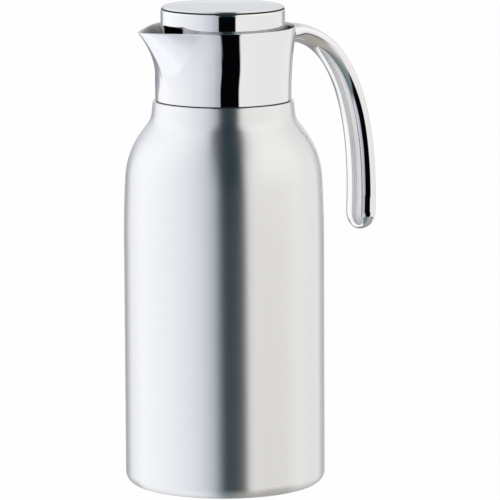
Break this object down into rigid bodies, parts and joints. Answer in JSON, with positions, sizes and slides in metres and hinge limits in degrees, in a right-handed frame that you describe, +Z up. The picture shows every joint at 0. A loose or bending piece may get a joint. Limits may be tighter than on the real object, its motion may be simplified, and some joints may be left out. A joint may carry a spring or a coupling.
{
  "type": "insulated pouring jug",
  "caption": "Insulated steel jug with a flared polished collar, V-shaped pouring spout, open arc handle and a screw-in stopper that pours while its cap is pressed.",
  "frame": {"origin": "centre of the base pad's underside, on the jug's axis, where it meets the table", "axes": "+Z up along the jug's axis; the spout points to -X and the handle to +X"},
  "size_m": [0.168, 0.12, 0.289],
  "materials": {
    "brushed_shell": "satin, brushed round the body",
    "polished_steel": "mirror polish",
    "inner_steel": "plain mill finish",
    "spring_steel": "bright wire",
    "black_plastic": "satin black",
    "rubber": "matt black",
    "silicone": "translucent white"
  },
  "bodies": {
    "jug": {"outer_shell": "brushed_shell", "inner_flask": "inner_steel", "vacuum_base": "inner_steel", "getter": "inner_steel", "base_cap": "black_plastic", "base_pad": "rubber", "collar_gasket": "rubber", "collar": "polished_steel", "insert_gasket": "rubber", "neck_insert": "black_plastic", "handle": "polished_steel", "handle_backplate": "inner_steel", "handle_screws": "inner_steel"},
    "seal_ring": {"stopper_seal": "silicone"},
    "stopper": {"stopper_body": "black_plastic", "stopper_base": "black_plastic", "return_spring": "spring_steel"},
    "press_cap": {"top_cap": "polished_steel", "cap_liner": "black_plastic", "cap_screw": "inner_steel", "valve_stem": "inner_steel", "stem_seal": "silicone", "valve_disc": "black_plastic", "valve_seal": "silicone", "valve_nut": "inner_steel"}
  },
  "joints": [
    {"name": "stopper_lift", "type": "slide", "parent": "jug", "child": "seal_ring", "axis": [0, 0, 1], "range_m": [0, 0.09]},
    {"name": "stopper_turn", "type": "hinge", "parent": "seal_ring", "child": "stopper", "pos_m": [0, 0, 0.2391], "axis": [0, 0, 1], "range_deg": [0, 180]},
    {"name": "cap_press", "type": "slide", "parent": "stopper", "child": "press_cap", "axis": [0, 0, -1], "range_m": [0, 0.004], "stiffness_N_per_m": 900, "springref_m": -0.006, "deforming": ["return_spring"]}
  ]
}
